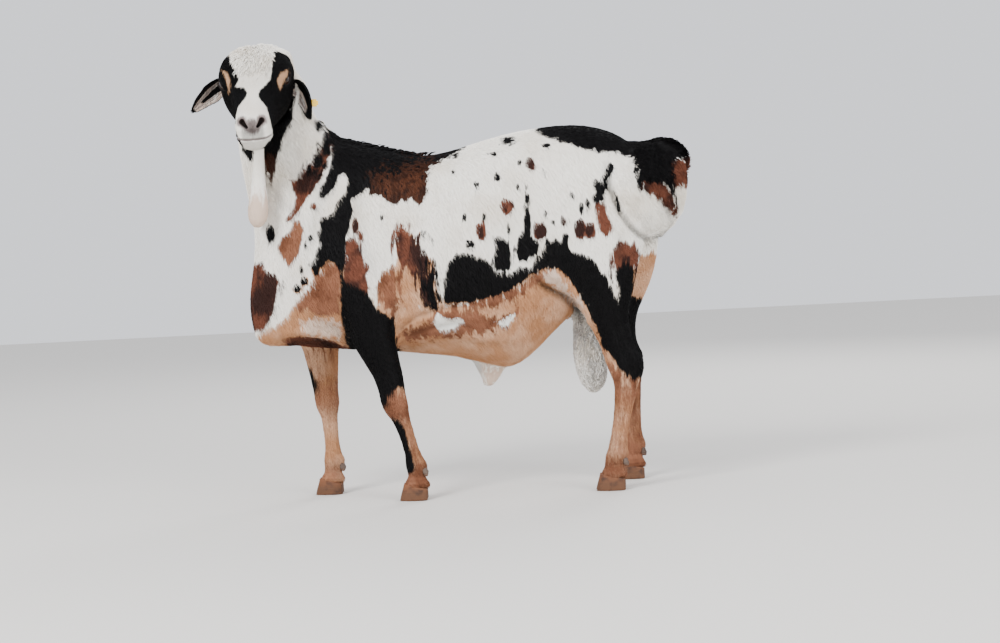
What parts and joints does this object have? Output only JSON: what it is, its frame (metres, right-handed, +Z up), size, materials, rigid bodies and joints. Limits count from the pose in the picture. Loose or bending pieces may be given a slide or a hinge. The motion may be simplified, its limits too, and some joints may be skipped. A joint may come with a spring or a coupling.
{
  "type": "fat-tailed hair sheep ram",
  "caption": "Life-size still model of a standing fat-tailed hair sheep ram, head turned to its left, with drooping ears, throat wattles and a plain ear tag.",
  "frame": {"origin": "on the floor under the middle of the whole model's box", "axes": "+Z up, the ram's body faces -X, its left side faces -Y"},
  "size_m": [1.0726, 0.4234, 0.9935],
  "materials": {
    "body_coat": "short flat hair, white with black, chestnut and tan patches",
    "face_coat": "very short hair, white blaze between black cheeks with tan brows",
    "leg_coat": "short tan hair, black on the upper legs",
    "tail_coat": "dense short hair, white below and black above with a chestnut edge",
    "black_hair": "longer black hair",
    "dark_ear": "thin skin with short black hair outside and pale stripes inside",
    "thin_coat": "pinkish skin with sparse short white hair",
    "wool": "short greyish white wool",
    "eye": "wet dark amber eye with a level pupil",
    "horn": "worn dark hoof horn",
    "tag": "plain yellow moulded tag"
  },
  "bodies": {
    "root": {"torso": "body_coat", "neck": "body_coat", "head": "face_coat", "ear_left": "dark_ear", "ear_right": "dark_ear", "eye_left": "eye", "eye_right": "eye", "wattle_left": "thin_coat", "wattle_right": "thin_coat", "leg_fore_left": "leg_coat", "leg_fore_right": "leg_coat", "leg_hind_left": "leg_coat", "leg_hind_right": "leg_coat", "tail": "tail_coat", "tail_tip": "black_hair", "scrotum": "wool", "sheath": "thin_coat", "ear_tag": "tag", "hoof_fore_left_outer": "horn", "dewclaw_fore_left_outer": "horn", "hoof_fore_left_inner": "horn", "dewclaw_fore_left_inner": "horn", "hoof_fore_right_outer": "horn", "dewclaw_fore_right_outer": "horn", "hoof_fore_right_inner": "horn", "dewclaw_fore_right_inner": "horn", "hoof_hind_left_outer": "horn", "dewclaw_hind_left_outer": "horn", "hoof_hind_left_inner": "horn", "dewclaw_hind_left_inner": "horn", "hoof_hind_right_outer": "horn", "dewclaw_hind_right_outer": "horn", "hoof_hind_right_inner": "horn", "dewclaw_hind_right_inner": "horn"}
  },
  "joints": []
}
